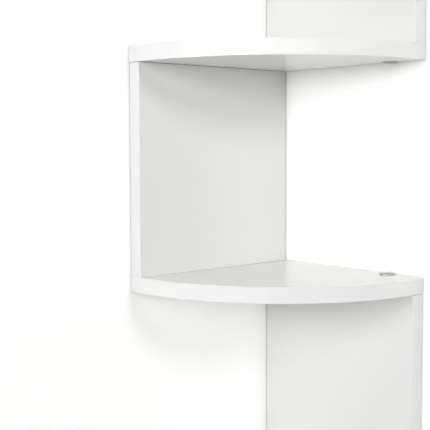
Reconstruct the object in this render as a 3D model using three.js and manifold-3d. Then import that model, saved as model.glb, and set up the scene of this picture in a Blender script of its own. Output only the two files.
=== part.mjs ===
// Corner shelf unit: five quarter-round shelves, one above the other, held apart by side
// panels that stand by turns on the left and on the right wall of a room's corner.
// Millimetres, +Z up. The Z axis is the line where the two walls meet, and z = 0 is the
// lower end of the unit. The left wall is the plane x = 0, where the unit runs along -Y.
// The right wall is the plane y = 0, where it runs along +X.
import * as THREE from 'three';
import { mergeVertices, toCreasedNormals } from 'three/addons/utils/BufferGeometryUtils.js';
import Module from 'manifold-3d';

// Layout: the wall that each side panel stands on, from the bottom up. A shelf lies
// between each panel and the next.
const panelWalls = ['left', 'right', 'left', 'right', 'left', 'right'];

// Boards
const boardThickness = 15;
const shelfReach = 197; // along each wall, from the corner line to the shelf's flat end
const panelSetback = 0.5; // of a panel's front edge behind the shelf's flat end
const bayHeight = 204.5; // clear height between two shelves
const endPanelHeight = 169.5; // from the unit's free end to the nearest shelf
const seam = 0.3; // the fine dark line between a panel's end and a shelf

// Edge bands, glued to each edge that shows
const bandThickness = 1;
const bandArris = 0.4; // chamfer on the two long outer edges
const glueLine = 0.1;

// Connector bolt: a wide flat head on the shelf, and a shank that goes through the shelf
// and up or down the middle of the panel into a barrel nut
const boltFromPanelFront = 36.5;
const boltDiameter = 6;
const boltLength = 50; // under the head
const boltTipChamfer = 0.8;
const boltHeadDiameter = 15;
const boltHeadHeight = 1.2;
const boltHeadArris = 0.4;
const boltSocketWidth = 4; // hexagon, across its flats
const boltSocketDepth = 3;
const boltHoleClearance = 0.5; // round the shank
const boltHoleSpare = 3; // depth of the hole past the bolt's tip
const boltPastNut = 1.5; // how far the tip comes out of the barrel nut

// Barrel nut: a steel pin across the panel, pushed in from the side that faces the wall
const nutDiameter = 10;
const nutCover = 1.5; // board beyond each end of the nut
const nutSlotWidth = 1.2;
const nutSlotDepth = 1.6;

// Fluted wooden dowel, which keeps the panel from turning about its bolt
const dowelFromCorner = 37;
const dowelDiameter = 8;
const dowelLength = 30;
const dowelDepthInShelf = 11;
const dowelFluteDepth = 0.35;
const dowelFluteCount = 10;
const dowelChamfer = 1;
const dowelHoleSpare = 0.8; // depth of each hole past the dowel's end

// Keyhole hanger: a steel plate let into the side of a panel that faces the wall. It
// hooks over a screw in the wall, whose head goes into a pocket behind the plate.
const hangerBelowPanelTop = 62; // from the top end of the panel to the plate's middle
const hangerWidth = 18;
const hangerHeight = 46;
const hangerThickness = 1.5;
const keyholeDiameter = 9.5;
const keyholeSlotWidth = 4.8;
const keyholeDrop = 3; // from the plate's middle down to the middle of the round hole
const keyholeRise = 11; // from the middle of the round hole to the top end of the slot
const keyholePocketDepth = 7;
const keyholePocketMargin = 1.5;

// Countersunk screws that hold the hanger
const hangerScrewSpacing = 34;
const hangerScrewDiameter = 3;
const hangerScrewLength = 11;
const hangerScrewHeadDiameter = 5.6;
const hangerScrewHeadHeight = 1.3;
const hangerScrewTipLength = 2.5;
const hangerScrewCrossLength = 2.8;
const hangerScrewCrossWidth = 0.7;
const hangerScrewCrossDepth = 0.9;

// Fits and facets
const fit = 0.2; // gap between a fitting and the board, plate or nut that holds it
const overrun = 1; // how far a cutter reaches past the face that it opens
const arcSteps = 40; // along a shelf's quarter circle
const turnedSides = 20; // round a turned piece
const holeSides = 12; // round a drilled hole
const hangerArcSteps = 5; // along each quarter turn of the hanger's outlines

// Values that follow from these
const panelMiddle = boardThickness / 2;
const panelWidth = shelfReach - panelSetback; // from the corner line to the front edge
const bandDepth = bandThickness + glueLine; // from a finished edge to the board's own edge
const panelBoardWidth = panelWidth - bandDepth;
const boltFromCorner = panelWidth - boltFromPanelFront;
const boltSeatDepth = seam + boardThickness + fit; // from a panel's end to under the head
const boltDepthInPanel = boltLength - boltSeatDepth;
const nutFromPanelEnd = boltDepthInPanel - boltPastNut - nutDiameter / 2; // to its axis
const nutLength = boardThickness - 2 * nutCover;
const dowelDepthInPanel = dowelLength - dowelDepthInShelf - seam;
const hangerFromCorner = panelWidth / 2;

const finishes = {
  laminate: new THREE.MeshStandardMaterial({ color: 0xf2f2f0, roughness: 0.35, metalness: 0 }),
  edging: new THREE.MeshStandardMaterial({ color: 0xf4f4f3, roughness: 0.3, metalness: 0 }),
  steel: new THREE.MeshStandardMaterial({ color: 0xb4b5b2, roughness: 0.35, metalness: 0.9 }),
  beech: new THREE.MeshStandardMaterial({ color: 0xcfa878, roughness: 0.7, metalness: 0 }),
};

const wasm = await Module();
wasm.setup();

// A geometry as a solid that can be cut
function solidOf(geometry) {
  const bare = new THREE.BufferGeometry();
  bare.setAttribute('position', geometry.getAttribute('position'));
  bare.setIndex(geometry.getIndex());
  const merged = mergeVertices(bare);
  return new wasm.Manifold(new wasm.Mesh({
    numProp: 3,
    vertProperties: merged.getAttribute('position').array,
    triVerts: new Uint32Array(merged.getIndex().array),
  }));
}

// What is left of a geometry once the cutters have been through it
function cutBy(geometry, cutters) {
  let solid = solidOf(geometry);
  for (const cutter of cutters) solid = solid.subtract(solidOf(cutter));
  const { vertProperties, triVerts } = solid.getMesh();
  const result = new THREE.BufferGeometry();
  result.setAttribute('position', new THREE.BufferAttribute(vertProperties, 3));
  result.setIndex(new THREE.BufferAttribute(triVerts, 1));
  return toCreasedNormals(result, Math.PI / 6);
}

// A box between two opposite corners
function boxBetween(low, high) {
  const size = new THREE.Vector3().subVectors(high, low);
  const middle = new THREE.Vector3().addVectors(low, high).divideScalar(2);
  return new THREE.BoxGeometry(size.x, size.y, size.z).translate(middle.x, middle.y, middle.z);
}

// A round or six-sided bar between two points, with its corners at the given radius
function barBetween(start, end, radius, sides = turnedSides) {
  const along = new THREE.Vector3().subVectors(end, start);
  const middle = new THREE.Vector3().addVectors(start, end).divideScalar(2);
  const turn = new THREE.Quaternion().setFromUnitVectors(
    new THREE.Vector3(0, 1, 0),
    along.clone().normalize(),
  );
  return new THREE.CylinderGeometry(radius, radius, along.length(), sides)
    .applyQuaternion(turn)
    .translate(middle.x, middle.y, middle.z);
}

// The cutter of a drilled hole, whose flats and not its corners are at the given radius,
// so that a round bar of that radius still passes
function drillBetween(start, end, radius) {
  return barBetween(start, end, radius / Math.cos(Math.PI / holeSides), holeSides);
}

// A turned piece about the Z axis, from the [radius, height] points of its profile,
// which starts and ends on the axis
function turned(profile, sides = turnedSides) {
  const points = profile.map(([radius, height]) => new THREE.Vector2(radius, height));
  return new THREE.LatheGeometry(points, sides).rotateX(Math.PI / 2);
}

// A closed skin over rings that all have the same number of points
function loft(rings) {
  const count = rings[0].length;
  const triangles = [];
  for (let ring = 0; ring + 1 < rings.length; ring++) {
    for (let corner = 0; corner < count; corner++) {
      const here = ring * count + corner;
      const beside = ring * count + (corner + 1) % count;
      triangles.push(here, beside, here + count, beside, beside + count, here + count);
    }
  }
  const lastRing = (rings.length - 1) * count;
  for (let corner = 1; corner + 1 < count; corner++) {
    triangles.push(0, corner + 1, corner);
    triangles.push(lastRing, lastRing + corner, lastRing + corner + 1);
  }
  const skin = new THREE.BufferGeometry().setFromPoints(rings.flat());
  skin.setIndex(triangles);
  return toCreasedNormals(skin, Math.PI / 6);
}

// An edge band along a line of stations. Each station has a point on the band's outer
// face, the direction into the board, and the direction across the board's thickness.
function edgeBand(stations) {
  const section = [
    [bandThickness, 0],
    [bandArris, 0],
    [0, bandArris],
    [0, boardThickness - bandArris],
    [bandArris, boardThickness],
    [bandThickness, boardThickness],
  ];
  return loft(stations.map(({ point, inward, across }) => section.map(([depth, width]) => (
    point.clone().addScaledVector(inward, depth).addScaledVector(across, width)
  ))));
}

// The shelf's front outline in plan, from the right wall round to the left wall: a flat
// end as long as the board is thick, a quarter circle, and the second flat end. The
// quarter circle's middle is where the inner faces of two panels would meet.
function shelfFront() {
  const middle = new THREE.Vector2(boardThickness, -boardThickness);
  const radius = shelfReach - boardThickness;
  const front = [{ point: new THREE.Vector2(shelfReach, 0), outward: new THREE.Vector2(1, 0) }];
  for (let step = 0; step <= arcSteps; step++) {
    const angle = -Math.PI / 2 * step / arcSteps;
    const outward = new THREE.Vector2(Math.cos(angle), Math.sin(angle));
    front.push({ point: middle.clone().addScaledVector(outward, radius), outward });
  }
  front.push({ point: new THREE.Vector2(0, -shelfReach), outward: new THREE.Vector2(0, -1) });
  return front;
}

// A point on the plan, given along a wall from the corner and out from that wall
function planPoint(wall, along, out) {
  return wall === 'left' ? new THREE.Vector2(out, -along) : new THREE.Vector2(along, -out);
}

// A shelf's board: a bolt hole right through for each of its two panels, and a blind
// dowel hole in the face that each panel stands against
function shelfBoard(wallAbove, wallBelow) {
  const outline = shelfFront().map(({ point, outward }) => (
    point.clone().addScaledVector(outward, -bandDepth)
  ));
  const board = new THREE.ExtrudeGeometry(
    new THREE.Shape([new THREE.Vector2(0, 0), ...outline]),
    { depth: boardThickness, bevelEnabled: false },
  );
  const hole = (place, from, to, radius) => drillBetween(
    new THREE.Vector3(place.x, place.y, from),
    new THREE.Vector3(place.x, place.y, to),
    radius,
  );
  const boltHoles = [wallAbove, wallBelow].map((wall) => hole(
    planPoint(wall, boltFromCorner, panelMiddle),
    -overrun,
    boardThickness + overrun,
    boltDiameter / 2 + boltHoleClearance,
  ));
  const dowelHoleRadius = dowelDiameter / 2 + fit;
  const dowelHoleDepth = dowelDepthInShelf + dowelHoleSpare;
  const dowelHoles = [
    hole(
      planPoint(wallAbove, dowelFromCorner, panelMiddle),
      boardThickness - dowelHoleDepth,
      boardThickness + overrun,
      dowelHoleRadius,
    ),
    hole(
      planPoint(wallBelow, dowelFromCorner, panelMiddle),
      -overrun,
      dowelHoleDepth,
      dowelHoleRadius,
    ),
  ];
  return cutBy(board, [...boltHoles, ...dowelHoles]);
}

function shelfBand() {
  return edgeBand(shelfFront().map(({ point, outward }) => ({
    point: new THREE.Vector3(point.x, point.y, 0),
    inward: new THREE.Vector3(-outward.x, -outward.y, 0),
    across: new THREE.Vector3(0, 0, 1),
  })));
}

// The holes in one jointed end of a panel, in the panel's own frame: X runs along the
// wall from the corner, Y out from the wall and Z up. The end is at endHeight, and
// inward is 1 where the panel goes up from it and -1 where it goes down.
function panelEndHoles({ endHeight, inward }) {
  const inPanel = (depth) => endHeight + inward * depth;
  const down = (along, depth, radius) => drillBetween(
    new THREE.Vector3(along, panelMiddle, inPanel(-overrun)),
    new THREE.Vector3(along, panelMiddle, inPanel(depth)),
    radius,
  );
  return [
    down(boltFromCorner, boltDepthInPanel + boltHoleSpare, boltDiameter / 2 + boltHoleClearance),
    down(dowelFromCorner, dowelDepthInPanel + dowelHoleSpare, dowelDiameter / 2 + fit),
    drillBetween(
      new THREE.Vector3(boltFromCorner, -overrun, inPanel(nutFromPanelEnd)),
      new THREE.Vector3(boltFromCorner, boardThickness - nutCover + fit, inPanel(nutFromPanelEnd)),
      nutDiameter / 2 + fit,
    ),
  ];
}

// The recess for a hanger, the pocket behind its keyhole and the two pilot holes, in the
// panel's own frame
function hangerSeat(panelHeight) {
  const height = panelHeight - hangerBelowPanelTop;
  const recessDepth = hangerThickness + fit;
  const recess = new THREE.ExtrudeGeometry(new THREE.Shape(hangerOutline(fit)), {
    depth: recessDepth + overrun,
    bevelEnabled: false,
  }).rotateX(Math.PI / 2).translate(hangerFromCorner, recessDepth, height);
  const pocketHalfWidth = keyholeDiameter / 2 + keyholePocketMargin;
  const pilots = hangerScrewPlaces().map((rise) => drillBetween(
    new THREE.Vector3(hangerFromCorner, 0, height + rise),
    new THREE.Vector3(hangerFromCorner, hangerScrewLength + fit, height + rise),
    hangerScrewDiameter / 2 + fit,
  ));
  return [
    recess,
    boxBetween(
      new THREE.Vector3(
        hangerFromCorner - pocketHalfWidth,
        0,
        height - keyholeDrop - pocketHalfWidth,
      ),
      new THREE.Vector3(
        hangerFromCorner + pocketHalfWidth,
        keyholePocketDepth,
        height - keyholeDrop + keyholeRise + keyholePocketMargin,
      ),
    ),
    ...pilots,
  ];
}

// A side panel's board. Each jointed end has its holes, and a free end is set back by
// the band that covers it.
function panelBoard({ height, openBelow, openAbove, hung }) {
  const bottom = openBelow ? bandDepth : 0;
  const top = openAbove ? height - bandDepth : height;
  const board = boxBetween(
    new THREE.Vector3(0, 0, bottom),
    new THREE.Vector3(panelBoardWidth, boardThickness, top),
  );
  const cutters = [];
  if (!openBelow) cutters.push(...panelEndHoles({ endHeight: 0, inward: 1 }));
  if (!openAbove) cutters.push(...panelEndHoles({ endHeight: height, inward: -1 }));
  if (hung) cutters.push(...hangerSeat(height));
  return cutBy(board, cutters);
}

function panelFrontBand(height) {
  return edgeBand([0, height].map((rise) => ({
    point: new THREE.Vector3(panelWidth, 0, rise),
    inward: new THREE.Vector3(-1, 0, 0),
    across: new THREE.Vector3(0, 1, 0),
  })));
}

// The band on a free end, which butts against the front band
function panelEndBand(height, atTop) {
  const ends = atTop ? [panelBoardWidth, 0] : [0, panelBoardWidth];
  return edgeBand(ends.map((along) => ({
    point: new THREE.Vector3(along, 0, atTop ? height : 0),
    inward: new THREE.Vector3(0, 0, atTop ? -1 : 1),
    across: new THREE.Vector3(0, 1, 0),
  })));
}

// Bolt: its head lies below z = 0 and its shank runs up from there
function connectorBolt() {
  const headRadius = boltHeadDiameter / 2;
  const shankRadius = boltDiameter / 2;
  const body = turned([
    [0, -boltHeadHeight],
    [headRadius - boltHeadArris, -boltHeadHeight],
    [headRadius, boltHeadArris - boltHeadHeight],
    [headRadius, 0],
    [shankRadius, 0],
    [shankRadius, boltLength - boltTipChamfer],
    [shankRadius - boltTipChamfer, boltLength],
    [0, boltLength],
  ]);
  const socketRadius = boltSocketWidth / Math.sqrt(3); // to the hexagon's corners
  const socket = barBetween(
    new THREE.Vector3(0, 0, -boltHeadHeight - overrun),
    new THREE.Vector3(0, 0, boltSocketDepth - boltHeadHeight),
    socketRadius,
    6,
  );
  return cutBy(body, [socket]);
}

// Nut: its axis lies along Y, with the slotted end towards the wall, and the bolt's hole
// crosses it along Z
function barrelNut() {
  const body = barBetween(
    new THREE.Vector3(0, -nutLength / 2, 0),
    new THREE.Vector3(0, nutLength / 2, 0),
    nutDiameter / 2,
  );
  const boltHole = drillBetween(
    new THREE.Vector3(0, 0, -nutDiameter / 2 - overrun),
    new THREE.Vector3(0, 0, nutDiameter / 2 + overrun),
    boltDiameter / 2 + fit,
  );
  const slot = boxBetween(
    new THREE.Vector3(-nutDiameter / 2 - overrun, -nutLength / 2 - overrun, -nutSlotWidth / 2),
    new THREE.Vector3(nutDiameter / 2 + overrun, nutSlotDepth - nutLength / 2, nutSlotWidth / 2),
  );
  return cutBy(body, [boltHole, slot]);
}

// Dowel: it stands on z = 0, with flutes down its side and a chamfer at both ends
function flutedDowel() {
  const outline = [];
  for (let point = 0; point < 2 * dowelFluteCount; point++) {
    const angle = Math.PI * point / dowelFluteCount;
    const radius = dowelDiameter / 2 - (point % 2) * dowelFluteDepth;
    outline.push(new THREE.Vector2(radius * Math.cos(angle), radius * Math.sin(angle)));
  }
  const levels = [
    { height: 0, inset: dowelChamfer },
    { height: dowelChamfer, inset: 0 },
    { height: dowelLength - dowelChamfer, inset: 0 },
    { height: dowelLength, inset: dowelChamfer },
  ];
  return loft(levels.map(({ height, inset }) => outline.map((point) => {
    const narrowed = point.clone().setLength(point.length() - inset);
    return new THREE.Vector3(narrowed.x, narrowed.y, height);
  })));
}

// The hanger's outline with round ends, let out by the given margin
function hangerOutline(margin) {
  const radius = hangerWidth / 2 + margin;
  const endMiddle = (hangerHeight - hangerWidth) / 2;
  return new THREE.Shape()
    .absarc(0, endMiddle, radius, 0, Math.PI, false)
    .absarc(0, -endMiddle, radius, Math.PI, 2 * Math.PI, false)
    .getPoints(hangerArcSteps);
}

// The rise of each hanger screw from the plate's middle
function hangerScrewPlaces() {
  return [-hangerScrewSpacing / 2, hangerScrewSpacing / 2];
}

// Hanger: drawn in the XY plane with the keyhole's slot upwards, and +Z towards the wall
function keyholeHanger() {
  const slotHalfWidth = keyholeSlotWidth / 2;
  const keyholeRadius = keyholeDiameter / 2;
  const opening = Math.asin(slotHalfWidth / keyholeRadius); // half the slot's angle
  const keyhole = new THREE.Path()
    .absarc(0, keyholeRise - slotHalfWidth - keyholeDrop, slotHalfWidth, 0, Math.PI, false)
    .absarc(0, -keyholeDrop, keyholeRadius, Math.PI / 2 + opening, Math.PI * 5 / 2 - opening);
  const shape = new THREE.Shape(hangerOutline(0));
  shape.holes.push(keyhole);
  const plate = new THREE.ExtrudeGeometry(shape, {
    depth: hangerThickness,
    bevelEnabled: false,
    curveSegments: hangerArcSteps,
  });
  const countersinks = hangerScrewPlaces().map((rise) => turned([
    [0, -overrun],
    [hangerScrewDiameter / 2 + fit, -overrun],
    [hangerScrewDiameter / 2 + fit, hangerThickness - hangerScrewHeadHeight],
    [hangerScrewHeadDiameter / 2 + fit, hangerThickness],
    [hangerScrewHeadDiameter / 2 + fit, hangerThickness + overrun],
    [0, hangerThickness + overrun],
  ], holeSides).translate(0, rise, 0));
  return cutBy(plate, countersinks);
}

// Screw: the flat of its head is at z = 0 and its point is below
function hangerScrew() {
  const headRadius = hangerScrewHeadDiameter / 2;
  const shankRadius = hangerScrewDiameter / 2;
  const body = turned([
    [0, -hangerScrewLength],
    [shankRadius, hangerScrewTipLength - hangerScrewLength],
    [shankRadius, -hangerScrewHeadHeight],
    [headRadius, 0],
    [0, 0],
  ], holeSides);
  const halfLength = hangerScrewCrossLength / 2;
  const halfWidth = hangerScrewCrossWidth / 2;
  const cross = [[halfLength, halfWidth], [halfWidth, halfLength]].map(([x, y]) => boxBetween(
    new THREE.Vector3(-x, -y, -hangerScrewCrossDepth),
    new THREE.Vector3(x, y, overrun),
  ));
  return cutBy(body, cross);
}

function part(name, geometry, finish) {
  const mesh = new THREE.Mesh(geometry, finishes[finish]);
  mesh.name = name;
  return mesh;
}

function groupAt(x, y, z) {
  const group = new THREE.Group();
  group.position.set(x, y, z);
  return group;
}

// A group in which X runs along the given wall from the corner, Y out from that wall and
// Z up. What stands on the right wall is the mirror image of what stands on the left.
function wallGroup(wall, height) {
  const group = groupAt(0, 0, height);
  if (wall === 'left') group.rotation.z = -Math.PI / 2;
  else group.scale.y = -1;
  return group;
}

// Bolt, nut and dowel of one jointed panel end. The group's Z axis goes into the panel.
function jointFittings(name, endHeight, inward) {
  const joint = groupAt(0, panelMiddle, endHeight);
  joint.scale.z = inward;
  const bolt = part(`bolt_${name}`, connectorBolt(), 'steel');
  bolt.position.set(boltFromCorner, 0, -boltSeatDepth);
  const nut = part(`barrel_nut_${name}`, barrelNut(), 'steel');
  nut.position.set(boltFromCorner, 0, nutFromPanelEnd);
  const dowel = part(`dowel_${name}`, flutedDowel(), 'beech');
  dowel.position.set(dowelFromCorner, 0, -seam - dowelDepthInShelf);
  return joint.add(bolt, nut, dowel);
}

// Hanger plate with its two screws, flush with the side of the panel that faces the wall
function hangerFittings(wall, panelHeight) {
  const hanger = groupAt(hangerFromCorner, hangerThickness, panelHeight - hangerBelowPanelTop);
  hanger.rotation.x = Math.PI / 2;
  hanger.add(part(`${wall}_keyhole_hanger`, keyholeHanger(), 'steel'));
  hangerScrewPlaces().forEach((rise, index) => {
    const screw = part(
      `${wall}_hanger_screw_${index === 0 ? 'lower' : 'upper'}`,
      hangerScrew(),
      'steel',
    );
    screw.position.set(0, rise, hangerThickness);
    hanger.add(screw);
  });
  return hanger;
}

function shelf(number, height) {
  const tier = groupAt(0, 0, height);
  const name = `shelf_${number}`;
  return tier.add(
    part(name, shelfBoard(panelWalls[number], panelWalls[number - 1]), 'laminate'),
    part(`${name}_front_band`, shelfBand(), 'edging'),
  );
}

// A side panel with its foot at the given height, and all that is fixed to it
function sidePanel(number, height) {
  const wall = panelWalls[number];
  const openBelow = number === 0;
  const openAbove = number === panelWalls.length - 1;
  const panelHeight = openBelow || openAbove ? endPanelHeight - seam : bayHeight - 2 * seam;
  const hung = number >= panelWalls.length - 2; // the highest panel on each wall
  const name = panelName(number);
  const group = wallGroup(wall, height);
  const board = panelBoard({ height: panelHeight, openBelow, openAbove, hung });
  group.add(part(name, board, 'laminate'));
  group.add(part(`${name}_front_band`, panelFrontBand(panelHeight), 'edging'));
  if (openBelow || openAbove) {
    group.add(part(`${name}_end_band`, panelEndBand(panelHeight, openAbove), 'edging'));
  }
  if (!openBelow) group.add(jointFittings(`shelf_${number}_up`, 0, 1));
  if (!openAbove) group.add(jointFittings(`shelf_${number + 1}_down`, panelHeight, -1));
  if (hung) group.add(hangerFittings(wall, panelHeight));
  return group;
}

function panelName(number) {
  if (number === 0) return 'bottom_panel';
  if (number === panelWalls.length - 1) return 'top_panel';
  return `side_panel_${number}`;
}

// The unit, from the bottom up
const unit = new THREE.Group();
unit.name = 'corner_shelf_unit';
const shelfPitch = bayHeight + boardThickness;
panelWalls.forEach((wall, number) => {
  const shelfHeight = endPanelHeight + number * shelfPitch; // of the shelf above the panel
  const panelFoot = number === 0 ? 0 : shelfHeight - bayHeight + seam;
  unit.add(sidePanel(number, panelFoot));
  if (number + 1 < panelWalls.length) unit.add(shelf(number + 1, shelfHeight));
});

export default unit;
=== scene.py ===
"""Corner shelf unit of white laminated board, finished round its fixed CAD frame.

Five quarter-round shelves hang one above the other in a room's corner. Side panels stand
between them, by turns on the left and on the right wall. The line where the walls meet is
the Z axis, the left wall is the plane x = 0 and the right wall is the plane y = 0.
"""

import logging
import math
from dataclasses import dataclass, replace
from enum import Enum
from functools import lru_cache
from typing import Callable, Optional, Sequence

import bmesh
import bpy
from bpy.types import Material, Mesh, Node, NodeSocket, NodeTree, Object
from mathutils import Matrix, Vector


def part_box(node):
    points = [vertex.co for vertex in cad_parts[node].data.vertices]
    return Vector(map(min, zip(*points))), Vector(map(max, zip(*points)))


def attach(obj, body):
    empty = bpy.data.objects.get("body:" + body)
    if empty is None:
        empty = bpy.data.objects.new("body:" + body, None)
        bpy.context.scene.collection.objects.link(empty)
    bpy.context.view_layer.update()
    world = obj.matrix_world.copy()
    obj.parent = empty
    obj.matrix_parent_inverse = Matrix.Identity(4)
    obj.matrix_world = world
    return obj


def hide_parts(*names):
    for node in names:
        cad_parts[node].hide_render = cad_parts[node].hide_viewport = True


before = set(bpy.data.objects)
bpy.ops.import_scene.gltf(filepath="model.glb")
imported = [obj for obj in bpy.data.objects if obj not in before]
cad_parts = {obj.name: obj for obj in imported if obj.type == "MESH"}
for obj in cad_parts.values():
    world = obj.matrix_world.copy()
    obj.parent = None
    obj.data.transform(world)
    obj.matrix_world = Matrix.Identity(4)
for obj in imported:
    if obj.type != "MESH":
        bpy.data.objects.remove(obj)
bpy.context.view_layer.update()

log = logging.getLogger("corner_shelf_unit")

Colour = tuple[float, float, float]
Pair = tuple[float, float]
Place = tuple[float, float, float]

MM = 0.001
UP = Vector((0.0, 0.0, 1.0))
ORIGIN = (0.0, 0.0, 0.0)
ROOT = "root"
ARRIS_LAYER = "arris"
SMOOTH_BELOW = math.radians(32)
QUARTER = math.pi / 2
HOLD = 0.1 * MM  # narrow face next to a wide one, which keeps the wide one flat in shading
OVERRUN = 1 * MM  # how far a cutter reaches past the face that it opens
WAVE_LENGTH = math.tau / 20  # length of a wave texture's waves at a scale of 1


class Slot(Enum):
    """The record's material slots."""

    LAMINATE = "laminate_board"
    EDGING = "edge_band"
    STEEL = "plated_steel"
    BEECH = "beech"


class Wall(Enum):
    """The wall that a panel stands on."""

    LEFT = "left"
    RIGHT = "right"

    @property
    def along(self) -> Vector:
        """The direction along the wall, away from the corner."""
        return Vector((0.0, -1.0, 0.0)) if self is Wall.LEFT else Vector((1.0, 0.0, 0.0))

    @property
    def out(self) -> Vector:
        """The direction out from the wall, into the room."""
        return Vector((1.0, 0.0, 0.0)) if self is Wall.LEFT else Vector((0.0, -1.0, 0.0))

    def place(self, along: float, out: float, up: float) -> Vector:
        """Gives the point at distances along the wall, out from it and up."""
        return self.along * along + self.out * out + UP * up


class Direction(Enum):
    """Which way a connector goes from its shelf into a panel."""

    GOES_UP = "up"
    GOES_DOWN = "down"

    @property
    def axis(self) -> Vector:
        """The direction from the shelf into the panel."""
        return UP if self is Direction.GOES_UP else -UP


PANEL_WALLS = (Wall.LEFT, Wall.RIGHT) * 3  # of the side panels, from the bottom up


# Node trees


class Graph:
    """Adds nodes to a node tree and links them."""

    def __init__(self, tree: NodeTree) -> None:
        """Starts on a tree."""
        self.tree = tree

    def add(self, kind: str, inputs: Optional[dict] = None, **settings: object) -> Node:
        """Adds a node.

        Args:
            kind: The node's type, without its ShaderNode prefix.
            inputs: Value or source socket for each input, by name or number.
            **settings: Properties of the node.

        Returns:
            The node.
        """
        node = self.tree.nodes.new("ShaderNode" + kind)
        for name, value in settings.items():
            setattr(node, name, value)
        for name, value in (inputs or {}).items():
            self.feed(node.inputs[name], value)
        return node

    def feed(self, socket: NodeSocket, value: object) -> None:
        """Links a socket, or sets its value.

        Args:
            socket: The input socket.
            value: A source socket, a number, a vector or an opaque colour.
        """
        if isinstance(value, NodeSocket):
            self.tree.links.new(value, socket)
        elif socket.type == "RGBA":
            socket.default_value = (*value, 1.0)
        else:
            socket.default_value = value

    def coordinates(self) -> NodeSocket:
        """Adds the object's own coordinates, in metres."""
        return self.add("TexCoord").outputs["Object"]

    def math(self, operation: str, *values: object) -> NodeSocket:
        """Adds a Math node on values or sockets, and gives its result."""
        return self.add("Math", dict(enumerate(values)), operation=operation).outputs[0]

    def ramp(self, value: object, limits: Pair = (0.0, 1.0), results: Pair = (0.0, 1.0)) -> NodeSocket:
        """Turns a value between two limits into one between two results.

        Args:
            value: The value or its source.
            limits: Where the change starts and ends.
            results: What it gives up to the first limit and from the second one on.

        Returns:
            The result's socket.
        """
        inputs = {"Value": value, "From Min": limits[0], "From Max": limits[1]}
        inputs |= {"To Min": results[0], "To Max": results[1]}
        return self.add("MapRange", inputs).outputs[0]

    def blend(self, share: object, first: object, second: object) -> NodeSocket:
        """Mixes two colours, with a share from 0 to 1 of the second."""
        return self.add("Mix", {0: share, 6: first, 7: second}, data_type="RGBA").outputs[2]

    def noise(self, vector: object, size: float, detail: float, rough: float = 0.5) -> NodeSocket:
        """Adds a noise round 0.5, with patches of about a size in metres."""
        inputs = {"Vector": vector, "Scale": 1.0 / size, "Detail": detail, "Roughness": rough}
        return self.add("TexNoise", inputs).outputs["Fac"]


class Group(Graph):
    """A shader node group with number sockets, built once and placed in several materials."""

    def __init__(self, name: str, inputs: dict[str, float], outputs: Sequence[str]) -> None:
        """Starts the group.

        Args:
            name: Its name.
            inputs: Name and default of each input.
            outputs: Name of each output.
        """
        super().__init__(bpy.data.node_groups.new(name, "ShaderNodeTree"))
        sides = [(label, "INPUT") for label in inputs] + [(label, "OUTPUT") for label in outputs]
        for label, side in sides:
            socket = self.tree.interface.new_socket(label, in_out=side, socket_type="NodeSocketFloat")
            socket.default_value = inputs.get(label, 0.0)
        self.start = self.tree.nodes.new("NodeGroupInput")
        self.end = self.tree.nodes.new("NodeGroupOutput")

    def place(self, graph: Graph, **values: float) -> Node:
        """Places the group in a material.

        Args:
            graph: The material's graph.
            **values: The group's inputs, with an underscore for each blank.

        Returns:
            The group's node.
        """
        node = graph.add("Group", node_tree=self.tree)
        for name, value in values.items():
            node.inputs[name.replace("_", " ").title()].default_value = value
        return node


@dataclass
class SurfaceEffects:
    """The groups that several finishes share, with the sizes of their patterns."""

    ripple_size: float = 0.9 * MM
    wave_size: float = 45 * MM
    tone_size: float = 90 * MM  # patches in which a white surface changes its tone
    mark_size: float = 28 * MM  # marks that handling leaves
    mark_limits: Pair = (0.35, 0.75)  # of the noise, where a mark starts and is full
    wear_size: float = 14 * MM  # worn stretches along an arris
    wear_limits: Pair = (0.42, 0.66)

    def __post_init__(self) -> None:
        """Builds the three groups."""
        self.relief = self._relief()
        self.wear = self._wear()
        self.marks = self._marks()

    def _relief(self) -> Group:
        """Builds the fine relief of a pressed or extruded surface.

        Returns:
            The group, with a height in metres and a slow change of tone.
        """
        depths = {"Ripple Depth": 3e-6, "Wave Depth": 1e-5}
        group = Group("surface_relief", depths, ["Height", "Tone"])
        ripple_depth, wave_depth = (group.start.outputs[name] for name in depths)
        place = group.coordinates()
        ripple = group.noise(place, self.ripple_size, detail=1.0)
        wave = group.math("MULTIPLY", group.noise(place, self.wave_size, detail=0.0), wave_depth)
        group.feed(group.end.inputs["Height"], group.math("MULTIPLY_ADD", ripple, ripple_depth, wave))
        group.feed(group.end.inputs["Tone"], group.noise(place, self.tone_size, detail=3.0))
        return group

    def _wear(self) -> Group:
        """Builds the wear along arrises, from the arris values that the meshes carry.

        Returns:
            The group.
        """
        group = Group("arris_wear", {"Amount": 0.5}, ["Wear"])
        arris = group.add("Attribute", attribute_name=ARRIS_LAYER).outputs["Fac"]
        patch = group.noise(group.coordinates(), self.wear_size, detail=4.0, rough=0.65)
        worn = group.math("MULTIPLY", arris, group.ramp(patch, self.wear_limits))
        wear = group.math("MULTIPLY", worn, group.start.outputs["Amount"])
        group.feed(group.end.inputs["Wear"], wear)
        return group

    def _marks(self) -> Group:
        """Builds the faint marks of handling, which change the gloss.

        Returns:
            The group.
        """
        group = Group("handling_marks", {"Amount": 1.0}, ["Mark"])
        smudge = group.noise(group.coordinates(), self.mark_size, detail=5.0, rough=0.6)
        shaped = group.ramp(smudge, self.mark_limits)
        mark = group.math("MULTIPLY", shaped, group.start.outputs["Amount"])
        group.feed(group.end.inputs["Mark"], mark)
        return group


# Finishes


def blank_material(name: str) -> tuple[Material, Graph]:
    """Makes an empty material.

    Args:
        name: Its name.

    Returns:
        The material and its graph.
    """
    material = bpy.data.materials.new(name)
    material.use_nodes = True
    material.node_tree.nodes.clear()
    return material, Graph(material.node_tree)


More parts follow.
